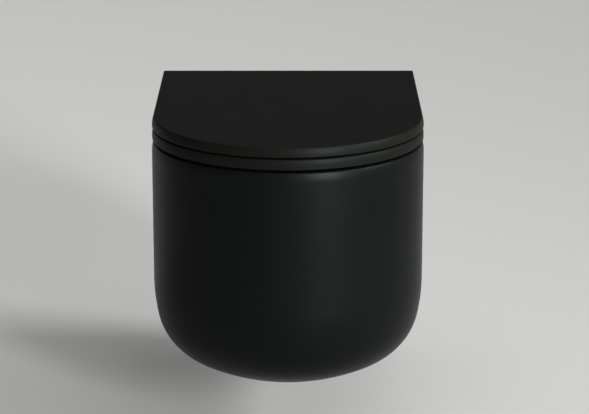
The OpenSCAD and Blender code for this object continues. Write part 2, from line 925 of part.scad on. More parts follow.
// Seat ring, with recesses under it for the hinge bodies, the arms and the buffers
module seat() {
    hole_r = seat_hole_w / 2;
    hole = concat(
        [[0, seat_top + past], [hole_r + cover_edge_r, seat_top + past]],
        [for (i = [0 : 4]) [hole_r + cover_edge_r - cover_edge_r * sin(22.5 * i),
            seat_top - cover_edge_r + cover_edge_r * cos(22.5 * i)]],
        [[hole_r, seat_z - past], [0, seat_z - past]]
    );
    color([0.135, 0.135, 0.13])
    difference() {
        cover(seat_z, seat_top, seat_back, seat_crown_r, seat_crown);
        stadium_sweep(hole, nose_y, -seat_hole_back - hole_r);
        seat_front_pads(pad_play, seat_z + buffer_socket);
        seat_rear_pads(pad_play, seat_z + buffer_socket);
        both_sides() {
            block([post_in - recess_side, button_front - recess_front, seat_z - past],
                [post_out + recess_side, 0, foot_top + recess_top]);
            block([seat_arm_in - loose, arm_plate_front - loose, seat_z - past],
                [post_in, 0, seat_z + arm_plate_t]);
            screw_holes(seat_screw_u, seat_z, screw_l + past, screw_play);
        }
    }
}

module seat_front_buffers() {
    color([0.1, 0.1, 0.1]) seat_front_pads(0, seat_z + buffer_socket);
}

module seat_rear_buffers() {
    color([0.1, 0.1, 0.1]) seat_rear_pads(0, seat_z + buffer_socket);
}

// Bore through a barrel, with a wider housing for a damper where it has one, open at its far end
module arm_bore(near, far, damper) {
    outward = far > near ? 1 : -1;
    bar_x(pin_d / 2 + running, near - outward * past, far + outward * past, axis_y, axis_z);
    if (damper) bar_x(housing_bore_r, near + outward * housing_wall, far + outward * past, axis_y, axis_z);
}

// Arm under the seat: a plate, a web behind the seat's edge, and the barrel
module seat_arm(barrel_l, damper) {
    far = seat_arm_out - barrel_l;
    web_front = -seat_back + loose;
    difference() {
        union() {
            block([seat_arm_in, arm_plate_front, seat_z],
                [seat_arm_out, web_front + past, seat_z + arm_plate_t]);
            block([seat_screw_u, web_front, seat_z], [seat_arm_out, axis_y, axis_z - barrel_r / 2]);
            bar_x(barrel_r, far, seat_arm_out, axis_y, axis_z);
        }
        arm_bore(seat_arm_out, far, damper);
        arm_screw_holes(seat_screw_u, seat_z);
    }
}

module left_seat_arm() {
    color([0.3, 0.3, 0.31]) left_side() seat_arm(arm_w, false);
}

module right_seat_arm() {
    color([0.3, 0.3, 0.31]) seat_arm(housing_l, true);
}

// A countersunk screw whose head lies at z = 0 and whose shank points up
module screw() {
    cylinder(h = screw_d / 2, r1 = screw_d, r2 = screw_d / 2);
    translate([0, 0, screw_d / 2]) cylinder(h = screw_l - screw_d / 2, d = screw_d);
}

module seat_arm_screws() {
    color([0.76, 0.77, 0.79])
    both_sides()
        for (y = arm_screw_y) translate([seat_screw_u, y, seat_z + screw_play]) screw();
}

// Damper cartridge with a bore for its shaft, outward from its mouth
module damper(mouth, outward) {
    difference() {
        bar_x(damper_d / 2, mouth, mouth + outward * damper_l, axis_y, axis_z);
        bar_x(pin_d / 2 + running, mouth - outward * past, mouth + outward * (shaft_grip + shaft_end_gap),
            axis_y, axis_z);
    }
}

// Cap on the open end of a damper's housing
module damper_cap(open, outward) {
    bar_x(barrel_r, open, open + outward * housing_wall, axis_y, axis_z);
    bar_x(housing_bore_r - housing_play, open, open - outward * cap_plug, axis_y, axis_z);
}

module seat_damper() {
    color([0.82, 0.8, 0.72]) damper(seat_arm_out - housing_wall - housing_play, -1);
}

module seat_damper_cap() {
    color([0.3, 0.3, 0.31]) damper_cap(seat_arm_out - housing_l, -1);
}

// Lid, with recesses under it for the arms and the buffers
module lid() {
    color([0.135, 0.135, 0.13])
    difference() {
        cover(lid_z, lid_top, lid_back, lid_crown_r, lid_crown);
        lid_front_pads(lid_buffer_r + pad_play, lid_z + buffer_socket);
        lid_rear_pads(lid_buffer_r + pad_play, lid_z + buffer_socket);
        both_sides() {
            block([lid_arm_in - loose, arm_plate_front - loose, lid_z - past],
                [lid_arm_out + loose, 0, lid_z + arm_plate_t]);
            screw_holes(lid_screw_u, lid_z, screw_l + past, screw_play);
        }
    }
}

module lid_front_buffers() {
    color([0.1, 0.1, 0.1]) lid_front_pads(lid_buffer_r, lid_z + buffer_socket);
}

module lid_rear_buffers() {
    color([0.1, 0.1, 0.1]) lid_rear_pads(lid_buffer_r, lid_z + buffer_socket);
}

// Arm under the lid: a plate that runs back into the barrel
module lid_arm(barrel_l, damper) {
    far = lid_arm_in + barrel_l;
    neck_front = -lid_back - 2;
    difference() {
        union() {
            block([lid_arm_in, arm_plate_front, lid_z],
                [lid_arm_out, neck_front + past, lid_z + arm_plate_t]);
            block([lid_arm_in, neck_front, lid_z], [lid_screw_u, axis_y, lid_z + arm_plate_t]);
            bar_x(barrel_r, lid_arm_in, far, axis_y, axis_z);
        }
        arm_bore(lid_arm_in, far, damper);
        arm_screw_holes(lid_screw_u, lid_z);
    }
}

module left_lid_arm() {
    color([0.3, 0.3, 0.31]) left_side() lid_arm(housing_l, true);
}

module right_lid_arm() {
    color([0.3, 0.3, 0.31]) lid_arm(arm_w, false);
}

module lid_arm_screws() {
    color([0.76, 0.77, 0.79])
    both_sides()
        for (y = arm_screw_y) translate([lid_screw_u, y, lid_z + screw_play]) screw();
}

module lid_damper() {
    color([0.82, 0.8, 0.72]) left_side() damper(lid_arm_in + housing_wall + housing_play, 1);
}

module lid_damper_cap() {
    color([0.3, 0.3, 0.31]) left_side() damper_cap(lid_arm_in + housing_l, 1);
}

pan();
underside();
bowl();
trapway();
inlet_horn();
flush_distributor();
inlet_seal();
wall_sleeves();
wall_washers();
wall_nuts();
side_caps();
deck_gaskets();
base_plates();
hinge_studs();
expander_bushes();
cone_nuts();
left_hinge_body();
right_hinge_body();
seat_pivot_pin();
lid_pivot_pin();
lid_damper_shaft();
seat_damper_shaft();
left_release_button();
right_release_button();
left_release_spring();
right_release_spring();
seat();
seat_front_buffers();
seat_rear_buffers();
left_seat_arm();
right_seat_arm();
seat_arm_screws();
seat_damper();
seat_damper_cap();
lid();
lid_front_buffers();
lid_rear_buffers();
left_lid_arm();
right_lid_arm();
lid_arm_screws();
lid_damper();
lid_damper_cap();
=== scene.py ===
# Wall-hung toilet, dressed: a glazed casting, a slim seat and lid, and the fittings between them.
# Lengths are metres. The back face is the plane Y = 0, the front looks along -Y and Z is up.
import json
import math

import bmesh
import bpy
from mathutils import Matrix, Vector


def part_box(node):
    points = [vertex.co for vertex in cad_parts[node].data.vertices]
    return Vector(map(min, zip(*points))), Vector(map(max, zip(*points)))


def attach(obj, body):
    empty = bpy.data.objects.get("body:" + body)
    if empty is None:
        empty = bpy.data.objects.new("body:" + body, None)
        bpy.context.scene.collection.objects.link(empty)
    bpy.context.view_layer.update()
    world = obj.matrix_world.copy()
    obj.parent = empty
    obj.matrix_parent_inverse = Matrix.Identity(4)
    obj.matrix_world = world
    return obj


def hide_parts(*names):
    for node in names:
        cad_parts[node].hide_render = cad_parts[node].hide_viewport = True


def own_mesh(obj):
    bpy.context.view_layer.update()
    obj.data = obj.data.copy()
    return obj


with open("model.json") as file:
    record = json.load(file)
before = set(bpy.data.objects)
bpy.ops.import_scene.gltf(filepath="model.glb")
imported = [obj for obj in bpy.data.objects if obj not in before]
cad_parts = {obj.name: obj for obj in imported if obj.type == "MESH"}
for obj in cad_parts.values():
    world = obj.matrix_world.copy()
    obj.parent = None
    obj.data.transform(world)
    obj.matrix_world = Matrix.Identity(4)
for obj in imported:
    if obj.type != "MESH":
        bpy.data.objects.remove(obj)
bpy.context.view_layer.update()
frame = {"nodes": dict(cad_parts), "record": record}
record = frame["record"]
slot_of = {part["node"]: part["material_slot"] for part in record["subparts"]}
body_of = {node: body for body, nodes in record["behaviour"]["bodies"].items() for node in nodes}

# Places that the frame gives
pan_low, pan_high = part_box("pan")
seat_low, seat_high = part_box("seat")
lid_low, lid_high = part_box("lid")
post_low, post_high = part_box("right_hinge_body")
button_low, button_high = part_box("right_release_button")
seal_low, seal_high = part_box("inlet_seal")
horn_low, horn_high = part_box("inlet_horn")
nut_low, nut_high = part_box("wall_nuts")
spigot_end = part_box("trapway")[1].y
deck_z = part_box("bowl")[1].z
half_w = pan_high.x
rim_z = pan_high.z
nose_y = pan_low.y + half_w

# Outline of the pan's section: shoulder, upright side, shallow turn, tight turn and belly
rim_edge_r = 0.0025
rim_crown_r = 0.046
rim_crown = math.radians(15)
side_h = 0.188
upper_turn_r = 0.242
upper_turn = math.radians(12)
lower_turn_r = 0.080
lower_turn = math.radians(62)
skin_t = 0.011

# Mouth of the bowl
mouth_r = 0.138
mouth_back = -0.248
mouth_round = 0.005
channel_r = 0.144
channel_top = 0.066
lip_round = 0.003
lip_turn = math.radians(135)
roof_round = 0.006
roof_turn = math.radians(60)
bowl_t = 0.010

# Basin, narrowing into the round sump
ledge_z = 0.044
ledge_round = 0.006
ledge_in = 0.001
slope_out = 0.008
slope_rise = 0.0065
shelf_out = 0.001
shelf_drop = 0.004
basin_r = 0.128
basin_z = 0.030
basin_depth = 0.118
shoulder_rise = 0.008
shoulder_drop = 0.004
basin_first = math.radians(12)
basin_last = math.radians(56)
sump_r = 0.054
sump_y = -0.250
sump_z = -0.160
sump_rings = (-0.108, -0.135)

# Neck of the basin: height, radius over the sump's, way behind the nose and before the mouth's back
neck_rings = (
    (-0.0795, 0.0085, 0.026, 0.0005),
    (-0.0920, 0.0015, 0.050, 0.0015),
)

# Trapway and outlet
trap_r = 0.030
trap_t = 0.009
throat_z = -0.182
outlet_z = -0.100
throat_bend = 0.055
crown_bend = 0.045
crown_rise = 0.028
trap_rise = math.radians(60)
trap_fall = math.radians(45)
lead_y = -0.024
spigot_r = 0.051
spigot_bore = 0.042
spigot_l = 0.038
spigot_floor = 0.007
spigot_start = spigot_end - spigot_l
spigot_edge = 0.003
spigot_soft = 0.0008
bore_edge = 0.002
flare_gap = 0.012
bore_gap = 0.004

# Flare into the spigot: way past its start, rise over the outlet, heading and radius
spigot_flare = (
    (-0.010, 0.004, -0.25, 0.0390),
    (-0.005, 0.002, -0.12, 0.0425),
    (-0.001, 0, 0, 0.0485),
    (0.002, 0, 0, spigot_r),
)

# Widening of its bore: way past the spigot's floor, and radius
bore_flare = (
    (0, trap_r + 0.003),
    (0.003, spigot_bore - 0.004),
    (0.007, spigot_bore),
)

# Inlet
inlet_z = 0.035
inlet_r = 0.0275
seal_seat_r = 0.0328
horn_depth = 0.050
horn_round = 0.002
horn_reach = 0.010
water_way_r = 0.020
water_way_front = -0.140

# Fixing webs and holes
bolt_x = 0.090
bolt_hole_r = 0.010
web_t = 0.020
web_h = 0.052
web_in = 0.064
web_round = 0.002
hinge_x = 0.0775
stud_y = -0.057
stud_bore_r = 0.0041
hinge_hole_r = 0.0075
access_y = -0.042
access_r = 0.0125
cap_seat_r = 0.015
cap_t = 0.002

# Seat and lid
cover_edge = 0.002
cover_foot = 0.001
cover_corner = 0.0012
seat_crown_r = 0.020
seat_crown = math.radians(18)
lid_crown_r = 0.024
lid_crown = math.radians(22)
seat_hole_r = 0.113
seat_hole_back = -0.246

# Recesses under the seat and the lid
recess_round = 0.0015
pocket_side = 0.001
pocket_front = -0.088
pocket_top = 0.0906
plate_front = -0.0983
plate_t = 0.0035
seat_plate_in = 0.0462
lid_plate_in = 0.0897
lid_plate_out = 0.1113
seat_screw_x = 0.054
lid_screw_x = 0.101
screw_rows = (-0.066, -0.088)

# Arm screws
screw_r = 0.002
screw_head_r = 0.0039
screw_l = 0.009
screw_sink = 0.0001
screw_play = 0.0001
head_h = 0.002
head_rim = 0.0002
head_edge = 0.0003
shank_start = 0.0022
shank_end = 0.002
shank_groove = 0.0004
tip_r = 0.0008
tip_h = 0.0005

# Cross in a screw's head: half its width and length, its depth, and its scale at the top and the foot
cross_w = 0.00045
cross_l = 0.0022
cross_depth = 0.0014
cross_top = 1.1
cross_foot = 0.5

# Release springs and buttons
wire_r = 0.00035
coil_turns = 7
groove_rows = (0.0010, 0.0021, 0.0032)
groove_r = 0.00035
groove_l = 0.014

# Wall nuts
bolt_bore_r = 0.0061
thread_depth = 0.0005
thread_margin = 0.001
nut_chamfer = 0.95
nut_slope = math.radians(30)

# Rubber bushes
rib_count = 3
rib_depth = 0.0005
rib_margin = 0.0004
rib_edge = 0.0006
bush_play = 0.0002

# Flush pipe's seal
pipe_r = 0.02255
seal_play = 0.00005
seal_groove = 0.0015
seal_lips = 4
seal_lead = 0.001
flange_round = 0.0008

# Buffers and their sockets
socket_depth = 0.002
pad_play = 0.0001
seat_pad_r = 0.007
seat_pad_run = 0.022
seat_pad_turn = math.radians(36)
seat_land_r = 0.15925
seat_rear_pad = (0.158, -0.170)
lid_pad_r = 0.006
lid_pad_turn = math.radians(28)
lid_land_r = 0.1465
lid_rear_pad = (0.140, -0.095)

# How far a cut runs past the face that it opens
past = 0.001

# Lengths that count as none: between points of a piece and of a fitting, along an edge and as a radius
merge_gap = 2e-6
weld_gap = 5e-6
sliver = 1e-6
least_r = 1e-9

# Degrees over which an edge is sharp: on most pieces, on the nuts and on ribbed or round forms
plain_angle = 32
nut_angle = 24
soft_angle = 50

# Bends under which faces count as one flat face, and over which an edge is rounded
flat_angle = math.radians(0.5)
rounded_over = math.radians(30)

# Half the turn of a round back whose points pair with a straight one's
back_span = math.radians(42)

# Steps along outlines, round edges and turned forms
corner_steps = 4
side_steps = 24
front_steps = 96
back_steps = 20
edge_steps = 5
crown_steps = 5
foot_steps = 4
round_steps = 4
upright_steps = 6
upper_turn_steps = 8
lower_turn_steps = 24
belly_steps = 18
mouth_steps = 6
lip_steps = 3
hole_steps = 6
basin_steps = 4
sump_steps = 6
loft_steps = 4
bowl_steps = 24
throat_steps = 5
throat_stations = 8
bend_step = math.radians(5)
least_bend_steps = 3
recess_steps = 4
rounding_steps = 3
pad_steps = 16
turned_steps = 64
screw_steps = 32
bush_steps = 48
nut_steps = 72
thread_steps = 12
rib_steps = 30
seal_steps = 48
coil_steps = 24
wire_steps = 12


# Outlines and meshes
def steps_between(start, end, steps):
    return [start + (end - start) * i / steps for i in range(steps + 1)]


def arc(centre, radius, start, end, steps):
    """Points of an arc, with its angles counted clockwise from the outward side."""
    return [
        (centre[0] + radius * math.cos(a), centre[1] - radius * math.sin(a))
        for a in steps_between(start, end, steps)
    ]


def shoulder(x, top, edge, crown_r, crown):
    """Upper corner of a section: a rounded edge, then a crowned side that ends upright at x."""
    side = (x - crown_r, top - edge - (crown_r - edge) * math.sin(crown))
    corner = (side[0] + (crown_r - edge) * math.cos(crown), top - edge)
    return (
        arc(corner, edge, -math.pi / 2, -crown, edge_steps)
        + arc(side, crown_r, -crown, 0, crown_steps)[1:]
    )


def d_loop(radius, back, z, corner=0.0):
    """A D-shaped loop: straight back, straight sides and a half circle at the front."""
    turn = [
        (radius - corner + corner * math.sin(a), back - corner + corner * math.cos(a))
        for a in steps_between(0, math.pi / 2, corner_steps)
    ]
    side = [(radius, y) for y in steps_between(back - corner, nose_y, side_steps)[1:]]
    front = arc((0, nose_y), radius, 0, math.pi, front_steps)[1:-1]
    left = [(-x, y) for x, y in reversed(turn + side)]
    rear = [(x, back) for x in steps_between(corner - radius, radius - corner, back_steps)[1:-1]]
    return [Vector((x, y, z)) for x, y in turn + side + front + left + rear]


def stadium_loop(radius, front, back, z):
    """A loop of two half circles and straight sides, whose points pair with a D-shaped loop's."""
    round_l = radius * (math.pi / 2 - back_span)
    right = []
    for s in steps_between(0, round_l + back - front, corner_steps + side_steps):
        a = back_span + min(s, round_l) / max(radius, least_r)
        right.append((radius * math.sin(a), back + radius * math.cos(a) - max(s - round_l, 0)))
    nose = arc((0, front), radius, 0, math.pi, front_steps)[1:-1]
    left = [(-x, y) for x, y in reversed(right)]
    rear = [
        (radius * math.sin(a), back + radius * math.cos(a))
        for a in steps_between(-back_span, back_span, back_steps)[1:-1]
    ]
    return [Vector((x, y, z)) for x, y in right + nose + left + rear]


def skin_over(mesh, rows, closed=True):
    """Quads between rows of points, each row a loop unless closed is False."""
    rows = [[mesh.verts.new(point) for point in row] for row in rows]
    for first, second in zip(rows, rows[1:]):
        count = len(first)
        for i in range(count if closed else count - 1):
            j = (i + 1) % count
            mesh.faces.new((first[i], first[j], second[j], second[i]))
    return rows


def capped(mesh, rows):
    """A skin over rows of points, closed at both ends."""
    rows = skin_over(mesh, rows)
    mesh.faces.new(rows[0])
    mesh.faces.new(rows[-1])


def piece(name, mesh, smooth_angle=plain_angle):
    """The mesh as an object, merged, with its normals outward and its sharp edges marked."""
    bmesh.ops.remove_doubles(mesh, verts=mesh.verts, dist=merge_gap)
    bmesh.ops.dissolve_degenerate(mesh, dist=sliver, edges=mesh.edges)
    bmesh.ops.recalc_face_normals(mesh, faces=mesh.faces)
    data = bpy.data.meshes.new(name)
    mesh.to_mesh(data)
    mesh.free()
    data.shade_smooth()
    data.set_sharp_from_angle(angle=math.radians(smooth_angle))
    obj = bpy.data.objects.new(name, data)
    bpy.context.scene.collection.objects.link(obj)
    return obj


def combine(obj, other, operation):
    """Changes the object's mesh by the other's space, and removes the other."""
    modifier = obj.modifiers.new("combine", "BOOLEAN")
    modifier.object = other
    modifier.operation = operation
    modifier.solver = "EXACT"
    graph = bpy.context.evaluated_depsgraph_get()
    data = bpy.data.meshes.new_from_object(obj.evaluated_get(graph))
    obj.modifiers.clear()
    obj.data = data
    data.name = obj.name
    bpy.data.objects.remove(other)
    data.shade_smooth()
    data.set_sharp_from_angle(angle=math.radians(plain_angle))


def cut(obj, cutter):
    combine(obj, cutter, "DIFFERENCE")


def lathe(mesh, profile, centre, axis, steps=turned_steps):
    """A closed profile of (radius, distance along the axis) turned about the axis through centre."""
    turn = Vector((0, 0, 1)).rotation_difference(Vector(axis)).to_matrix()
    rows = []
    for r, along in profile + profile[:1]:
        rows.append([
            Vector(centre) + turn @ Vector((r * math.cos(a), r * math.sin(a), along))
            for a in steps_between(0, math.tau, steps)[:-1]
        ])
    skin_over(mesh, rows)


def rod(mesh, centre, axis, radius, length):
    """A closed cylinder whose middle is at centre, for cutting holes."""
    half = length / 2
    lathe(mesh, [(0, -half), (radius, -half), (radius, half), (0, half)], centre, axis)


def box(mesh, low, high):
    matrix = Matrix.Translation((Vector(low) + Vector(high)) / 2)
    size = Matrix.Diagonal((*(Vector(high) - Vector(low)), 1))
    return bmesh.ops.create_cube(mesh, size=1, matrix=matrix @ size)["verts"]


def both_sides(low, high):
    """A block's corners on the right, and mirrored on the left."""
    return (
        (low, high),
        ((-high[0], low[1], low[2]), (-low[0], high[1], high[2])),
    )


def soften(mesh, width):
    """Rounds every edge that isn't a shallow bend."""
    edges = [
        edge for edge in mesh.edges
        if len(edge.link_faces) == 2 and edge.calc_face_angle() > rounded_over
    ]
    bmesh.ops.bevel(
        mesh,
        geom=edges,
        offset=width,
        segments=rounding_steps,
        profile=0.5,
        affect="EDGES",
        clamp_overlap=True,
    )


def dress(obj, node, *others):
    """Gives the piece a node's finish and body, and stands it in for that node and the others."""
    obj.data.materials.clear()
    obj.data.materials.append(materials[slot_of[node]])
    modifier = obj.modifiers.new("normals", "WEIGHTED_NORMAL")
    modifier.keep_sharp = True
    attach(obj, body_of[node])
    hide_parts(node, *others)


# Node groups shared by the materials
flecks_per_cloud = 9.0
fleck_share = 0.3
line_stretch = (0.6, 14, 14)


def new_group(name, inputs, outputs):
    tree = bpy.data.node_groups.new(name, "ShaderNodeTree")
    for label, default in inputs:
        socket = tree.interface.new_socket(label, in_out="INPUT", socket_type="NodeSocketFloat")
        socket.default_value = default
    for label, kind in outputs:
        tree.interface.new_socket(label, in_out="OUTPUT", socket_type=kind)
    return tree, tree.nodes.new("NodeGroupInput"), tree.nodes.new("NodeGroupOutput")


def math_node(tree, operation, a, b):
    node = tree.nodes.new("ShaderNodeMath")
    node.operation = operation
    for socket, value in zip(node.inputs, (a, b)):
        if isinstance(value, (int, float)):
            socket.default_value = value
        else:
            tree.links.new(value, socket)
    return node.outputs[0]


def noise(tree, vector, scale, detail, roughness=0.5):
    node = tree.nodes.new("ShaderNodeTexNoise")
    node.inputs["Detail"].default_value = detail
    node.inputs["Roughness"].default_value = roughness
    tree.links.new(vector, node.inputs["Vector"])
    if isinstance(scale, (int, float)):
        node.inputs["Scale"].default_value = scale
    else:
        tree.links.new(scale, node.inputs["Scale"])
    return node.outputs["Fac"]


def object_space(tree, stretch=(1, 1, 1)):
    coords = tree.nodes.new("ShaderNodeTexCoord")
    mapping = tree.nodes.new("ShaderNodeMapping")
    mapping.inputs["Scale"].default_value = stretch
    tree.links.new(coords.outputs["Object"], mapping.inputs["Vector"])
    return mapping.outputs["Vector"]


def mottle_group():
    """A soft cloudy mask about zero, from wide clouds and small flecks."""
    inputs = [("Scale", 20.0), ("Amount", 0.1)]
    tree, source, sink = new_group("mottle", inputs, [("Mask", "NodeSocketFloat")])
    space = object_space(tree)
    wide = noise(tree, space, source.outputs["Scale"], detail=3)
    fleck_scale = math_node(tree, "MULTIPLY", source.outputs["Scale"], flecks_per_cloud)
    small = noise(tree, space, fleck_scale, detail=2)
    wide = math_node(tree, "MULTIPLY", wide, 1 - fleck_share)
    small = math_node(tree, "MULTIPLY", small, fleck_share)
    centred = math_node(tree, "SUBTRACT", math_node(tree, "ADD", wide, small), 0.5)
    tree.links.new(math_node(tree, "MULTIPLY", centred, source.outputs["Amount"]), sink.inputs["Mask"])
    return tree


def grain_group():
    """Fine surface relief: a slow ripple with a fine grain on it."""
    tree, source, sink = new_group(
        "grain",
        [("Grain scale", 900.0), ("Ripple scale", 30.0), ("Ripple", 0.5)],
        [("Height", "NodeSocketFloat")],
    )
    space = object_space(tree)
    grain = noise(tree, space, source.outputs["Grain scale"], detail=2)
    ripple = noise(tree, space, source.outputs["Ripple scale"], detail=2)
    height = math_node(tree, "ADD", grain, math_node(tree, "MULTIPLY", ripple, source.outputs["Ripple"]))
    tree.links.new(height, sink.inputs["Height"])
    return tree


def brushed_group():
    """Fine lines along X, for turned and rolled steel."""
    tree, source, sink = new_group("brushed", [("Scale", 60.0)], [("Lines", "NodeSocketFloat")])
    space = object_space(tree, line_stretch)
    lines = noise(tree, space, source.outputs["Scale"], detail=4, roughness=0.7)
    tree.links.new(lines, sink.inputs["Lines"])
    return tree


def use_group(tree, group, **values):
    node = tree.nodes.new("ShaderNodeGroup")
    node.node_tree = group
    for label, value in values.items():
        node.inputs[label.replace("_", " ")].default_value = value
    return node.outputs[0]


def new_material(name):
    material = bpy.data.materials.new(name)
    material.use_nodes = True
    return material, material.node_tree, material.node_tree.nodes["Principled BSDF"]


def varied_color(tree, color, mask):
    """The colour, lighter and darker by the mask."""
    node = tree.nodes.new("ShaderNodeHueSaturation")
    node.inputs["Color"].default_value = (*color, 1)
    tree.links.new(math_node(tree, "ADD", mask, 1.0), node.inputs["Value"])
    return node.outputs["Color"]


def relief(tree, shader, height, distance):
    """Turns a height into fine relief on the shader."""
    bump = tree.nodes.new("ShaderNodeBump")
    bump.inputs["Distance"].default_value = distance
    tree.links.new(height, bump.inputs["Height"])
    tree.links.new(bump.outputs["Normal"], shader.inputs["Normal"])


def surface(name, color, roughness, specular, clouds, gloss, relief_h, grain, ripple, tint=(1, 1, 1)):
    """A moulded or glazed surface. Its clouds, gloss and ripple are each a scale and an amount."""
    material, tree, shader = new_material(name)
    shade = use_group(tree, MOTTLE, Scale=clouds[0], Amount=clouds[1])
    tree.links.new(varied_color(tree, color, shade), shader.inputs["Base Color"])
    uneven = use_group(tree, MOTTLE, Scale=gloss[0], Amount=gloss[1])
    tree.links.new(math_node(tree, "ADD", uneven, roughness), shader.inputs["Roughness"])
    shader.inputs["Specular IOR Level"].default_value = specular
    shader.inputs["Specular Tint"].default_value = (*tint, 1)
    height = use_group(tree, GRAIN, Grain_scale=grain, Ripple_scale=ripple[0], Ripple=ripple[1])
    relief(tree, shader, height, relief_h)
    return material


MOTTLE = mottle_group()
GRAIN = grain_group()
BRUSHED = brushed_group()
steel_color = (0.56, 0.56, 0.57)
steel_roughness = 0.30
steel_gloss_spread = 0.3
steel_relief_h = 0.00004


def black_glaze():
    """Matt glaze on the casting: a fine orange peel under a faint cloud."""
    return surface(
        "black_glaze",
        # Near-black glaze colour, with a faint green cast painted in for green light falling on it
        color=(0.0024, 0.0030, 0.0025),
        roughness=0.40,
        specular=0.065,
        clouds=(9, 0.35),
        gloss=(14, 0.10),
        relief_h=0.00002,
        grain=1400,
        ripple=(24, 2.0),
        # A cool tint painted into the reflections, for the colour of the light
        tint=(0.88, 1.0, 0.98),
    )


def black_duroplast():
    """Satin pressed resin of the seat and the lid."""
    return surface(
        "black_duroplast",
        # Near-black resin colour, with a faint green cast painted in for green light falling on it
        color=(0.0044, 0.0051, 0.0040),
        roughness=0.48,
        specular=0.052,
        clouds=(12, 0.25),
        gloss=(18, 0.08),
        relief_h=0.000015,
        grain=1800,
        ripple=(30, 1.0),
        # A cool tint painted into the reflections, for the colour of the light
        tint=(0.90, 1.0, 1.0),
    )


def black_rubber():
    """Dull rubber of the buffers, gaskets, bushes and seal."""
    return surface(
        "black_rubber",
        color=(0.007, 0.007, 0.007),
        roughness=0.78,
        specular=0.3,
        clouds=(30, 0.4),
        gloss=(60, 0.15),
        relief_h=0.00006,
        grain=700,
        ripple=(60, 0.5),
    )


def black_metal():
    """Coated zinc of the hinge bodies and arms."""
    return surface(
        "black_metal",
        color=(0.010, 0.010, 0.0105),
        roughness=0.38,
        specular=0.5,
        clouds=(40, 0.3),
        gloss=(80, 0.16),
        relief_h=0.00004,
        grain=1500,
        ripple=(90, 0.6),
    )


def steel():
    """Bright steel with fine lines in its gloss and relief."""
    material, tree, shader = new_material("steel")
    lines = use_group(tree, BRUSHED, Scale=60.0)
    cloud = use_group(tree, MOTTLE, Scale=40.0, Amount=0.25)
    tree.links.new(varied_color(tree, steel_color, cloud), shader.inputs["Base Color"])
    shader.inputs["Metallic"].default_value = 1.0
    spread = math_node(tree, "MULTIPLY", math_node(tree, "SUBTRACT", lines, 0.5), steel_gloss_spread)
    tree.links.new(math_node(tree, "ADD", spread, steel_roughness), shader.inputs["Roughness"])
    relief(tree, shader, lines, steel_relief_h)
    return material


def black_plastic():
    """Fine-grained plastic of the caps, buttons and distributor."""
    return surface(
        "black_plastic",
        color=(0.008, 0.0085, 0.008),
        roughness=0.50,
        specular=0.18,
        clouds=(35, 0.3),
        gloss=(50, 0.12),
        relief_h=0.00005,
        grain=1100,
        ripple=(50, 0.5),
    )


def pale_plastic():
    """Natural plastic of the dampers and the wall sleeves."""
    return surface(
        "pale_plastic",
        color=(0.62, 0.60, 0.53),
        roughness=0.48,
        specular=0.45,
        clouds=(30, 0.10),
        gloss=(40, 0.12),
        relief_h=0.00004,
        grain=900,
        ripple=(50, 0.8),
    )


finishes = (black_glaze, black_duroplast, black_rubber, black_metal, steel, black_plastic, pale_plastic)
materials = {finish.__name__: finish() for finish in finishes}


# The pan: outer skin, rim and deck
def pan_section(inset):
    """Half section of the skin, drawn in by inset, from the deck's underside to the lowest point."""
    upper = (half_w - upper_turn_r, rim_z - side_h)
    shift = upper_turn_r - lower_turn_r
    lower = (upper[0] + shift * math.cos(upper_turn), upper[1] - shift * math.sin(upper_turn))
    belly_r = lower_turn_r + lower[0] / math.cos(lower_turn)
    belly = (0, lower[1] + (belly_r - lower_turn_r) * math.sin(lower_turn))
    side = [(half_w - inset, z) for z in steps_between(deck_z, rim_z - side_h, upright_steps)]
    return (
        side[:-1]
        + arc(upper, upper_turn_r - inset, 0, upper_turn, upper_turn_steps)
        + arc(lower, lower_turn_r - inset, upper_turn, lower_turn, lower_turn_steps)[1:]
        + arc(belly, belly_r - inset, lower_turn, math.pi / 2, belly_steps)[1:]
    )


def open_side(radius, z):
    """The part of a D-shaped loop that isn't its back edge."""
    return d_loop(radius, 0, z)[: -(back_steps - 1)]


def pan_shell():
    mesh = bmesh.new()
    edge = shoulder(half_w, rim_z, rim_edge_r, rim_crown_r, rim_crown)
    outer = edge + pan_section(0)
    inner = [(half_w - skin_t, deck_z)] * len(edge) + pan_section(skin_t)
    skin_over(mesh, [open_side(r, z) for r, z in outer], closed=False)
    skin_over(mesh, [open_side(r, z) for r, z in inner], closed=False)
    for s in (-1, 1):
        back_edge = [[Vector((s * r, 0, z)) for r, z in line] for line in (outer, inner)]
        skin_over(mesh, back_edge, closed=False)
    top = d_loop(edge[0][0], 0, rim_z)
    underside = d_loop(half_w - skin_t, 0, deck_z)
    back = [loop[-(back_steps - 1):] for loop in (top, underside)]
    ends = [(loop[-back_steps], loop[0]) for loop in (top, underside)]
    skin_over(mesh, [[end[0], *row, end[1]] for row, end in zip(back, ends)], closed=False)
    mouth_centre = (mouth_r + mouth_round, rim_z - mouth_round)
    mouth = arc(mouth_centre, mouth_round, math.pi * 1.5, math.pi, mouth_steps)
    lip = arc((mouth_r + lip_round, channel_top + lip_round), lip_round, math.pi, lip_turn, lip_steps)
    roof = arc((channel_r - roof_round, deck_z), roof_round, -roof_turn, 0, round_steps)
    rows = [top] + [stadium_loop(r, nose_y, mouth_back, z) for r, z in mouth + lip + roof]
    skin_over(mesh, rows)
    skin_over(mesh, [rows[-1], underside])
    return piece("pan_casting", mesh)


def fixing_webs():
    """The two fixing webs, as slabs that grow out of the skin."""
    mesh = bmesh.new()
    low = (web_in, -web_t, -web_h / 2)
    high = (half_w - skin_t / 2, 0, web_h / 2)
    for corners in both_sides(low, high):
        box(mesh, *corners)
    soften(mesh, web_round)
    return piece("fixing_webs", mesh)


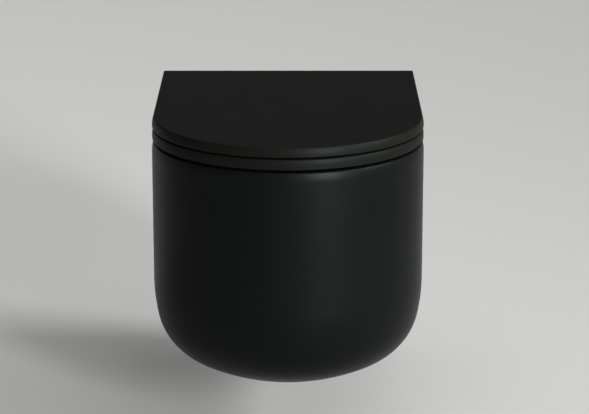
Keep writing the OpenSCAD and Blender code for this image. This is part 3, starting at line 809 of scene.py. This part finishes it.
def inlet_cutter():
    """The ways bored along the inlet: for the water, for the seal and for its flange."""
    mesh = bmesh.new()
    front = horn_high.y - horn_depth
    end = horn_high.y
    profile = [(0, water_way_front), (water_way_r, water_way_front), (water_way_r, front)]
    profile += [(inlet_r, front), (inlet_r, end), (seal_seat_r, end), (seal_seat_r, past), (0, past)]
    lathe(mesh, profile, (0, 0, inlet_z), (0, 1, 0))
    return piece("inlet_cutter", mesh)


def rods_cutter(name, spots, axis, radius, length):
    """Cutting rods at spots on the right and, mirrored, on the left."""
    mesh = bmesh.new()
    for x, y, z in spots:
        for s in (-1, 1):
            rod(mesh, (s * x, y, z), axis, radius, length)
    return piece(name, mesh)


# The bowl: its space is a loft of long rings that closes into the round sump
def bowl_rows():
    """Rows of (radius, front, back, height) from under the rim to the sump's bottom."""
    rows = [
        (channel_r, nose_y, mouth_back, deck_z),
        (channel_r, nose_y, mouth_back, ledge_z + ledge_round),
        (channel_r - ledge_in, nose_y, mouth_back, ledge_z),
        (basin_r + slope_out, nose_y, mouth_back, basin_z + slope_rise),
        (basin_r + shelf_out, nose_y, mouth_back, basin_z - shelf_drop),
    ]
    for a in steps_between(basin_first, basin_last, basin_steps):
        rows.append((basin_r * math.cos(a), nose_y, mouth_back, basin_z - basin_depth * math.sin(a)))
    for z, out, front, back in neck_rings:
        rows.append((sump_r + out, nose_y + front, mouth_back - back, z))
    rows += [(sump_r, sump_y, sump_y, z) for z in sump_rings]
    for a in steps_between(0, math.pi / 2, sump_steps)[:-1]:
        rows.append((sump_r * math.cos(a), sump_y, sump_y, sump_z - sump_r * math.sin(a)))
    return rows + [(0, sump_y, sump_y, sump_z - sump_r)]


def spline(rows, steps):
    """Rows of numbers refined by a smooth curve through them."""
    out = []
    last = len(rows) - 1
    for i in range(last):
        four = [rows[max(i - 1, 0)], rows[i], rows[i + 1], rows[min(i + 2, last)]]
        for t in steps_between(0, 1, steps)[:-1]:
            weights = (
                (-t + 2 * t ** 2 - t ** 3) / 2,
                (2 - 5 * t ** 2 + 3 * t ** 3) / 2,
                (t + 4 * t ** 2 - 3 * t ** 3) / 2,
                (t ** 3 - t ** 2) / 2,
            )
            out.append(tuple(sum(w * v for w, v in zip(weights, values)) for values in zip(*four)))
    return out + [rows[-1]]


def bowl_outside(name, top):
    """The bowl's outer form up to a height, as a full solid: a basin on a round sump."""
    rim_r = channel_r + bowl_t
    rows = [(rim_r, top), (rim_r, basin_z + shoulder_rise)]
    for a in steps_between(0, math.pi / 2, bowl_steps)[:-1]:
        drop = shoulder_drop + (basin_depth + bowl_t) * math.sin(a)
        rows.append(((basin_r + bowl_t) * math.cos(a), basin_z - drop))
    mesh = bmesh.new()
    capped(mesh, [stadium_loop(r, nose_y, mouth_back, z) for r, z in rows])
    basin = piece(name, mesh)
    wall_r = sump_r + bowl_t
    start = basin_z - basin_depth / 2
    mesh = bmesh.new()
    foot = arc((0, sump_z), wall_r, 0, math.pi / 2, bowl_steps)
    lathe(mesh, [(0, start), (wall_r, start)] + foot, (0, sump_y, 0), (0, 0, 1))
    combine(basin, piece("sump_outside", mesh), "UNION")
    return basin


def bowl_space():
    """The space inside the bowl and the sump, as a full solid that opens the bowl's top."""
    rows = spline(bowl_rows(), loft_steps)
    radius, front, back, z = rows[0]
    rows.insert(0, (radius, front, back, z + past))
    mesh = bmesh.new()
    loops = skin_over(mesh, [stadium_loop(*row) for row in rows])
    mesh.faces.new(loops[0])
    return piece("bowl_space", mesh)


def bowl_shell():
    bowl = bowl_outside("bowl_casting", deck_z)
    cut(bowl, bowl_space())
    return bowl


def bowl_plug():
    """The bowl's outer form, for cutting what grows out of it."""
    return bowl_outside("bowl_plug", deck_z + past)


# The trapway: a tube along arcs and straights in the middle plane
def trap_path():
    """Stations of (y, z, heading) along the trapway, from the sump to the outlet."""
    fall_bend = crown_rise / (1 - math.cos(trap_fall)) - crown_bend
    fall_centre = (lead_y, outlet_z + fall_bend)
    fall_y = lead_y - fall_bend * math.sin(trap_fall)
    fall_z = outlet_z + fall_bend * (1 - math.cos(trap_fall))
    crown = (fall_y - crown_bend * math.sin(trap_fall), fall_z - crown_bend * math.cos(trap_fall))
    top = (crown[0] - crown_bend * math.sin(trap_rise), crown[1] + crown_bend * math.cos(trap_rise))
    foot_z = throat_z + throat_bend * (1 - math.cos(trap_rise))
    foot_y = top[0] - (top[1] - foot_z) / math.tan(trap_rise)
    throat_y = foot_y - throat_bend * math.sin(trap_rise)
    bends = [
        ((throat_y, throat_z + throat_bend), throat_bend, 0, trap_rise),
        (crown, crown_bend, trap_rise, -trap_fall),
        (fall_centre, fall_bend, -trap_fall, 0),
    ]
    stations = [(y, throat_z, 0) for y in steps_between(sump_y, throat_y, throat_steps)[:-1]]
    for centre, radius, start, end in bends:
        signed = radius if end > start else -radius
        steps = max(least_bend_steps, round(abs(end - start) / bend_step))
        for h in steps_between(start, end, steps):
            stations.append((centre[0] + signed * math.sin(h), centre[1] - signed * math.cos(h), h))
    return stations


def tube_rows(stations):
    """Round loops at stations of (y, z, heading, radius)."""
    rows = []
    for y, z, heading, r in stations:
        up = Vector((0, -math.sin(heading), math.cos(heading)))
        rows.append([
            Vector((r * math.sin(a), y, z)) + r * math.cos(a) * up
            for a in steps_between(0, math.tau, turned_steps)[:-1]
        ])
    return rows


def throat_cutter():
    mesh = bmesh.new()
    capped(mesh, tube_rows([(*station, trap_r) for station in trap_path()[:throat_stations]]))
    return piece("throat_cutter", mesh)


def trapway_shell():
    """The trapway's wall, flared into the spigot at its end."""
    path = trap_path()
    outside = [(*s, trap_r + trap_t) for s in path if s[0] < spigot_start - flare_gap]
    outside += [(spigot_start + y, outlet_z + z, heading, r) for y, z, heading, r in spigot_flare]
    outside += [
        (spigot_end - spigot_edge, outlet_z, 0, spigot_r),
        (spigot_end - spigot_soft, outlet_z, 0, spigot_r - spigot_soft),
        (spigot_end, outlet_z, 0, spigot_r - spigot_edge),
    ]
    bore_start = spigot_start + spigot_floor
    inside = [(*s, trap_r) for s in path if s[0] < bore_start - bore_gap]
    inside += [(bore_start + y, outlet_z, 0, r) for y, r in bore_flare]
    inside += [
        (spigot_end - bore_edge, outlet_z, 0, spigot_bore),
        (spigot_end, outlet_z, 0, spigot_bore + bore_edge),
    ]
    mesh = bmesh.new()
    skin_over(mesh, tube_rows(outside + inside[::-1] + outside[:1]))
    return piece("trapway_casting", mesh)


def horn_shell():
    """The inlet's round horn with its two bores; its front runs into the bowl's wall."""
    mesh = bmesh.new()
    out_r = horn_high.x
    front = horn_low.y - horn_reach
    end = horn_high.y
    mouth = arc((out_r - horn_round, end - horn_round), horn_round, 0, -math.pi / 2, round_steps)
    step = end - horn_depth
    bore = [(inlet_r, end), (inlet_r, step), (water_way_r, step), (water_way_r, front)]
    lathe(mesh, [(out_r, front)] + mouth + bore, (0, 0, inlet_z), (0, 1, 0))
    return piece("inlet_horn_casting", mesh)


def deck_cutter():
    """The space of the deck over the horn."""
    mesh = bmesh.new()
    box(mesh, (-mouth_r, horn_low.y - 2 * horn_reach, deck_z), (mouth_r, horn_reach, rim_z))
    return piece("deck_cutter", mesh)


def casting():
    shell = pan_shell()
    combine(shell, fixing_webs(), "UNION")
    cut(shell, rods_cutter("bolt_holes", [(bolt_x, 0, 0)], (0, 1, 0), bolt_hole_r, 3 * web_t))
    cut(shell, inlet_cutter())
    cut(shell, rods_cutter("hinge_holes", [(hinge_x, stud_y, rim_z)], (0, 0, 1), hinge_hole_r, rim_z))
    cut(shell, rods_cutter("access_holes", [(half_w, access_y, 0)], (1, 0, 0), access_r, 3 * skin_t))
    cut(shell, rods_cutter("cap_seats", [(half_w, access_y, 0)], (1, 0, 0), cap_seat_r, 2 * cap_t))
    dress(shell, "pan", "underside")
    bowl = bowl_shell()
    cut(bowl, throat_cutter())
    cut(bowl, inlet_cutter())
    dress(bowl, "bowl")
    trapway = trapway_shell()
    cut(trapway, bowl_plug())
    dress(trapway, "trapway")
    horn = horn_shell()
    cut(horn, deck_cutter())
    cut(horn, bowl_plug())
    dress(horn, "inlet_horn")


# Seat and lid
def rounded_by(radius, reach):
    """How far a rounded edge lies behind its face, at the given reach into the rounding."""
    reach = min(max(reach, 0), radius)
    return radius - math.sqrt(radius ** 2 - reach ** 2)


def cover_edges(low, high, crown_r, crown):
    """Loops of a flat cover from its top's edge, over the crowned side, to its underside's edge."""
    rows = []
    side = shoulder(0, high.z, cover_edge, crown_r, crown)
    side += arc((-cover_foot, low.z + cover_foot), cover_foot, 0, math.pi / 2, foot_steps)
    for x, z in side:
        inset = rounded_by(cover_edge, z - high.z + cover_edge)
        inset += rounded_by(cover_foot, low.z + cover_foot - z)
        rows.append(d_loop(high.x + x, high.y - inset, z, max(cover_corner + x, 0)))
    return rows


def recess_block(mesh, low, high):
    """A moulded recess on both sides: a block whose upright edges are rounded."""
    for corners in both_sides(low, high):
        verts = box(mesh, *corners)
        edges = [edge for edge in mesh.edges if all(vert in verts for vert in edge.verts)]
        upright = [edge for edge in edges if abs(edge.verts[0].co.z - edge.verts[1].co.z) > recess_round]
        bmesh.ops.bevel(
            mesh,
            geom=upright,
            offset=recess_round,
            segments=recess_steps,
            profile=0.5,
            affect="EDGES",
        )


def pad(mesh, centre, turn, radius, run, low, high):
    """A pad with round ends, turned in plan about the upright."""
    outline = [(run / 2 + x, y) for x, y in arc((0, 0), radius, -math.pi / 2, math.pi / 2, pad_steps)]
    outline += [(-x, -y) for x, y in outline]
    spin = Matrix.Rotation(turn, 3, "Z")
    rows = []
    for z in (low, high):
        rows.append([spin @ Vector((x, y, 0)) + Vector((*centre, z)) for x, y in outline])
    capped(mesh, rows)


def front_spots(radius, turn):
    """The two places at the front, at a radius and a turn from the middle plane, with their own turn."""
    return [((s * radius * math.sin(turn), nose_y - radius * math.cos(turn)), s * turn) for s in (-1, 1)]


def seat_pads(mesh, grow, low, high):
    spots = front_spots(seat_land_r, seat_pad_turn)
    spots += [((s * seat_rear_pad[0], seat_rear_pad[1]), math.pi / 2) for s in (-1, 1)]
    for centre, turn in spots:
        pad(mesh, centre, turn, seat_pad_r + grow, seat_pad_run, low, high)


def lid_pads(mesh, grow, low, high):
    spots = [centre for centre, turn in front_spots(lid_land_r, lid_pad_turn)]
    spots += [(s * lid_rear_pad[0], lid_rear_pad[1]) for s in (-1, 1)]
    for x, y in spots:
        rod(mesh, (x, y, (low + high) / 2), (0, 0, 1), lid_pad_r + grow, high - low)


def cut_screw_holes(cover, name, x, z):
    """Cuts the holes of the arm screws into a cover's underside."""
    spots = [(x, y, z) for y in screw_rows]
    cut(cover, rods_cutter(name, spots, (0, 0, 1), screw_r + screw_play, 2 * (screw_l + past)))


def lid_cover():
    mesh = bmesh.new()
    capped(mesh, cover_edges(lid_low, lid_high, lid_crown_r, lid_crown))
    lid = piece("lid_cover", mesh)
    low = lid_low.z
    mesh = bmesh.new()
    recess_block(mesh, (lid_plate_in, plate_front, low - past), (lid_plate_out, 0, low + plate_t))
    cut(lid, piece("lid_plate_recess", mesh))
    mesh = bmesh.new()
    lid_pads(mesh, pad_play, low - past, low + socket_depth)
    cut(lid, piece("lid_sockets", mesh))
    cut_screw_holes(lid, "lid_screw_holes", lid_screw_x, low)
    dress(lid, "lid")


def seat_ring():
    mesh = bmesh.new()
    outside = cover_edges(seat_low, seat_high, seat_crown_r, seat_crown)
    foot_centre = (seat_hole_r + cover_foot, seat_low.z + cover_foot)
    edge_centre = (seat_hole_r + cover_edge, seat_high.z - cover_edge)
    hole = arc(foot_centre, cover_foot, math.pi / 2, math.pi, foot_steps)
    hole += arc(edge_centre, cover_edge, math.pi, math.pi * 1.5, hole_steps)
    inside = [stadium_loop(r, nose_y, seat_hole_back, z) for r, z in hole]
    skin_over(mesh, outside + inside + outside[:1])
    seat = piece("seat_ring", mesh)
    low = seat_low.z
    mesh = bmesh.new()
    pocket_in = post_low.x - pocket_side
    pocket_out = post_high.x + pocket_side
    recess_block(mesh, (pocket_in, pocket_front, low - past), (pocket_out, 0, pocket_top))
    cut(seat, piece("hinge_pockets", mesh))
    mesh = bmesh.new()
    recess_block(mesh, (seat_plate_in, plate_front, low - past), (post_low.x, 0, low + plate_t))
    cut(seat, piece("seat_plate_recess", mesh))
    mesh = bmesh.new()
    seat_pads(mesh, pad_play, low - past, low + socket_depth)
    cut(seat, piece("seat_sockets", mesh))
    cut_screw_holes(seat, "seat_screw_holes", seat_screw_x, low)
    dress(seat, "seat")


# Fittings that keep the form of their node, and how far their edges are rounded
rounding_of = {
    "flush_distributor": 0.0004,
    "wall_sleeves": 0.0004,
    "wall_washers": 0.0003,
    "side_caps": 0.0005,
    "deck_gaskets": 0.0002,
    "base_plates": 0.0003,
    "hinge_studs": 0.0002,
    "cone_nuts": 0.0004,
    "left_hinge_body": 0.0006,
    "right_hinge_body": 0.0006,
    "seat_pivot_pin": 0.0003,
    "lid_pivot_pin": 0.0003,
    "lid_damper_shaft": 0.0003,
    "seat_damper_shaft": 0.0003,
    "left_release_button": 0.0003,
    "right_release_button": 0.0003,
    "seat_front_buffers": 0.0008,
    "seat_rear_buffers": 0.0008,
    "lid_front_buffers": 0.0008,
    "lid_rear_buffers": 0.0008,
    "left_seat_arm": 0.0004,
    "right_seat_arm": 0.0004,
    "left_lid_arm": 0.0004,
    "right_lid_arm": 0.0004,
    "seat_damper": 0.0003,
    "lid_damper": 0.0003,
    "seat_damper_cap": 0.0006,
    "lid_damper_cap": 0.0006,
}


def rounded_fitting(node):
    mesh = bmesh.new()
    mesh.from_mesh(frame["nodes"][node].data)
    bmesh.ops.remove_doubles(mesh, verts=mesh.verts, dist=weld_gap)
    bmesh.ops.dissolve_limit(mesh, angle_limit=flat_angle, verts=mesh.verts, edges=mesh.edges)
    soften(mesh, rounding_of[node])
    return piece(node + "_rounded", mesh)


def grooved_button(node, side):
    """A release button with three fine grooves across its top, for the finger."""
    button = rounded_fitting(node)
    mesh = bmesh.new()
    for y in groove_rows:
        centre = (side * hinge_x, button_low.y + y, button_high.z)
        rod(mesh, centre, (1, 0, 0), groove_r, groove_l)
    cut(button, piece("grooves", mesh))
    return button


def hex_nuts():
    """Two hexagon nuts with chamfered corners and a threaded bore."""
    mesh = bmesh.new()
    flat = nut_high.z
    chamfer_r = flat * nut_chamfer
    slope = math.tan(nut_slope)
    turns = steps_between(0, math.tau, nut_steps)[:-1]
    hexagon = [flat / math.cos(a % (math.pi / 3) - math.pi / 6) for a in turns]
    turns_of_thread = steps_between(nut_high.y - thread_margin, nut_low.y + thread_margin, thread_steps)
    thread = [(bolt_bore_r + thread_depth * (k % 2), y) for k, y in enumerate(turns_of_thread)]
    for s in (-1, 1):
        rows = [[(chamfer_r, nut_low.y)] * len(turns)]
        rows.append([(r, nut_low.y + (r - chamfer_r) * slope) for r in hexagon])
        rows.append([(r, nut_high.y - (r - chamfer_r) * slope) for r in hexagon])
        rows.append([(chamfer_r, nut_high.y)] * len(turns))
        rows.append([(bolt_bore_r + thread_depth, nut_high.y)] * len(turns))
        rows += [[spot] * len(turns) for spot in thread]
        rows.append([(bolt_bore_r + thread_depth, nut_low.y)] * len(turns))
        points = [
            [Vector((s * bolt_x + r * math.cos(a), y, r * math.sin(a))) for (r, y), a in zip(row, turns)]
            for row in rows
        ]
        skin_over(mesh, points + points[:1])
    return piece("wall_nuts_chamfered", mesh, nut_angle)


def cross_loop(centre, along, size):
    """Outline of the cross in a screw's head, at a depth along the screw."""
    thin = cross_w * size
    long = cross_l * size
    quarter = [(thin, long), (thin, thin), (long, thin)]
    spins = [Matrix.Rotation(-k * math.pi / 2, 2) for k in range(4)]
    loop = [spin @ Vector(p) for spin in spins for p in quarter]
    return [centre + Vector((p.x, p.y, along)) for p in loop]


def arm_screws(name, x, z):
    """Four countersunk screws with a cross in the head and a thread on the shank."""
    mesh = bmesh.new()
    crosses = bmesh.new()
    head = [(0, 0), (screw_head_r - head_edge, 0), (screw_head_r, head_rim), (screw_r, head_h)]
    turns = enumerate(steps_between(shank_start, screw_l - shank_end, thread_steps))
    thread = [(screw_r - shank_groove * (k % 2), along) for k, along in turns]
    profile = head + thread + [(tip_r, screw_l - tip_h), (0, screw_l)]
    for s in (-1, 1):
        for y in screw_rows:
            centre = Vector((s * x, y, z + screw_sink))
            lathe(mesh, profile, centre, (0, 0, 1), screw_steps)
            ends = ((-past, cross_top), (cross_depth, cross_foot))
            capped(crosses, [cross_loop(centre, along, size) for along, size in ends])
    screws = piece(name, mesh)
    cut(screws, piece(name + "_crosses", crosses))
    return screws


def ribbed_bushes():
    """Two rubber bushes with soft ribs round the part that swells under the deck."""
    low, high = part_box("expander_bushes")
    rib_r = (high.x - low.x) / 2 - hinge_x
    mesh = bmesh.new()
    ribs = []
    for t in steps_between(0, 1, rib_steps):
        wave = rib_depth * math.cos(rib_count * math.tau * t)
        z = low.z + rib_margin + t * (deck_z - low.z - rib_margin - rib_edge)
        ribs.append((rib_r - rib_depth + wave, z))
    edge_r = rib_r - rib_edge
    neck_r = hinge_hole_r - bush_play
    neck_z = deck_z - bush_play
    profile = [(stud_bore_r, low.z), (edge_r, low.z)] + ribs
    profile += [(edge_r, neck_z), (neck_r, neck_z), (neck_r, high.z), (stud_bore_r, high.z)]
    for s in (-1, 1):
        lathe(mesh, profile, (s * hinge_x, stud_y, 0), (0, 0, 1), bush_steps)
    return piece("expander_bushes_ribbed", mesh, soft_angle)


def lipped_seal():
    """The flush pipe's seal: a rounded flange and a bore with four soft lips."""
    mesh = bmesh.new()
    flange_r = seal_high.x
    flange_y = horn_high.y
    outer_r = inlet_r - seal_play
    length = seal_high.y - seal_low.y
    lips = []
    for t in steps_between(0, 1, seal_steps):
        wave = 0.5 - 0.5 * math.cos(seal_lips * math.tau * t)
        lips.append((pipe_r + seal_groove * wave, seal_low.y + t * length))
    edge_centre = (flange_r - flange_round, seal_high.y - flange_round)
    edge = arc(edge_centre, flange_round, 0, -math.pi / 2, round_steps)
    profile = [(outer_r - flange_round, seal_low.y), (outer_r, seal_low.y + seal_lead)]
    profile += [(outer_r, flange_y), (flange_r, flange_y)] + edge
    lathe(mesh, profile + list(reversed(lips)), (0, 0, inlet_z), (0, 1, 0))
    return piece("inlet_seal_lipped", mesh, soft_angle)


def coiled_spring(node):
    """A round wire coil whose end turns lie flat."""
    low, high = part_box(node)
    middle = (low + high) / 2
    reach = (high.x - low.x) / 2 - wire_r
    length = high.y - low.y - 2 * wire_r
    open_pitch = (length - 4 * wire_r) / (coil_turns - 2)
    rows = []
    for turn in steps_between(0, coil_turns, coil_turns * coil_steps):
        closed = min(turn, 1) + max(turn - coil_turns + 1, 0)
        along = 2 * wire_r * closed + open_pitch * (turn - closed)
        out = Vector((math.cos(turn * math.tau), 0, math.sin(turn * math.tau)))
        centre = Vector((middle.x, low.y + wire_r + along, middle.z)) + reach * out
        ring = steps_between(0, math.tau, wire_steps)[:-1]
        rows.append([centre + wire_r * (out * math.cos(b) + Vector((0, math.sin(b), 0))) for b in ring])
    mesh = bmesh.new()
    capped(mesh, rows)
    return piece(node + "_coil", mesh, soft_angle)


def fittings():
    for node in rounding_of:
        if node == "left_release_button":
            fitting = grooved_button(node, -1)
        elif node == "right_release_button":
            fitting = grooved_button(node, 1)
        else:
            fitting = rounded_fitting(node)
        dress(fitting, node)
    dress(hex_nuts(), "wall_nuts")
    dress(arm_screws("seat_arm_screws_crossed", seat_screw_x, seat_low.z), "seat_arm_screws")
    dress(arm_screws("lid_arm_screws_crossed", lid_screw_x, lid_low.z), "lid_arm_screws")
    dress(ribbed_bushes(), "expander_bushes")
    dress(lipped_seal(), "inlet_seal")
    for joint in record["behaviour"]["joints"]:
        for spring in joint.get("deforming_nodes", []):
            coil = coiled_spring(spring["node"])
            dress(coil, spring["node"])
            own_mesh(coil)


# Stage, light and camera
floor_z = -0.320
floor_half = 30
floor_color = (0.52, 0.52, 0.51)
floor_roughness = 0.9
studio_low = (0.55, 0.55, 0.54)
studio_high = (0.07, 0.07, 0.07)
fade_start = 0.07
fade_end = 0.15
key_place = (3.38, -5.74, 1.30)
key_aim_z = 0.05
key_size = (1.05, 2.60)
key_spread = math.radians(40)
key_power = 42
side_place = (2.60, -0.54, 1.20)
side_strength = 3.4
side_spread = math.radians(17)
ceiling_place = (0.40, -0.20, 3.00)
ceiling_strength = 1.2
ceiling_spread = math.radians(80)
camera_place = (0.0088, -3.335, 0.8512)
camera_aim = (0.0088, -0.3075, -0.0152)
camera_lens = 143.7
camera_sensor = 36
camera_range = 100


def plain_floor():
    mesh = bmesh.new()
    bmesh.ops.create_grid(mesh, x_segments=1, y_segments=1, size=floor_half)
    data = bpy.data.meshes.new("floor")
    mesh.to_mesh(data)
    mesh.free()
    floor = bpy.data.objects.new("floor", data)
    floor.location.z = floor_z
    bpy.context.scene.collection.objects.link(floor)
    material, tree, shader = new_material("pale_floor")
    shader.inputs["Base Color"].default_value = (*floor_color, 1)
    shader.inputs["Roughness"].default_value = floor_roughness
    shader.inputs["Specular IOR Level"].default_value = 0.0
    data.materials.append(material)


def aimed(name, data, place, target):
    """A lamp or the camera, placed and turned towards its target."""
    obj = bpy.data.objects.new(name, data)
    obj.location = place
    obj.rotation_euler = (Vector(target) - Vector(place)).to_track_quat("-Z", "Y").to_euler()
    bpy.context.scene.collection.objects.link(obj)
    return obj


def soft_light(name, place, strength, spread):
    """A wide even light from the direction of a place, aimed at the origin."""
    data = bpy.data.lights.new(name, "SUN")
    data.energy = strength
    data.angle = spread
    aimed(name, data, place, (0, 0, 0))


def lights():
    data = bpy.data.lights.new("key", "AREA")
    data.shape = "RECTANGLE"
    data.size, data.size_y = key_size
    data.spread = key_spread
    data.energy = key_power
    aimed("key", data, key_place, (0, nose_y, key_aim_z))
    soft_light("side", side_place, side_strength, side_spread)
    soft_light("ceiling", ceiling_place, ceiling_strength, ceiling_spread)


def studio_world():
    """A studio that is pale along the floor's far edge and dark above it."""
    world = bpy.context.scene.world or bpy.data.worlds.new("studio")
    bpy.context.scene.world = world
    world.use_nodes = True
    tree = world.node_tree
    tree.nodes.clear()
    coords = tree.nodes.new("ShaderNodeTexCoord")
    split = tree.nodes.new("ShaderNodeSeparateXYZ")
    fade = tree.nodes.new("ShaderNodeMapRange")
    fade.interpolation_type = "SMOOTHSTEP"
    fade.inputs["From Min"].default_value = fade_start
    fade.inputs["From Max"].default_value = fade_end
    mix = tree.nodes.new("ShaderNodeMix")
    mix.data_type = "RGBA"
    sockets = [socket for socket in mix.inputs if socket.type == "RGBA"]
    sockets[0].default_value = (*studio_low, 1)
    sockets[1].default_value = (*studio_high, 1)
    color = [socket for socket in mix.outputs if socket.type == "RGBA"][0]
    back = tree.nodes.new("ShaderNodeBackground")
    out = tree.nodes.new("ShaderNodeOutputWorld")
    tree.links.new(coords.outputs["Generated"], split.inputs[0])
    tree.links.new(split.outputs["Z"], fade.inputs["Value"])
    tree.links.new(fade.outputs["Result"], mix.inputs[0])
    tree.links.new(color, back.inputs["Color"])
    tree.links.new(back.outputs[0], out.inputs["Surface"])


def camera():
    data = bpy.data.cameras.new("camera")
    data.lens = camera_lens
    data.sensor_width = camera_sensor
    data.clip_end = camera_range
    bpy.context.scene.camera = aimed("camera", data, camera_place, camera_aim)


bpy.context.scene.view_settings.view_transform = "Standard"
casting()
lid_cover()
seat_ring()
fittings()
plain_floor()
lights()
studio_world()
camera()
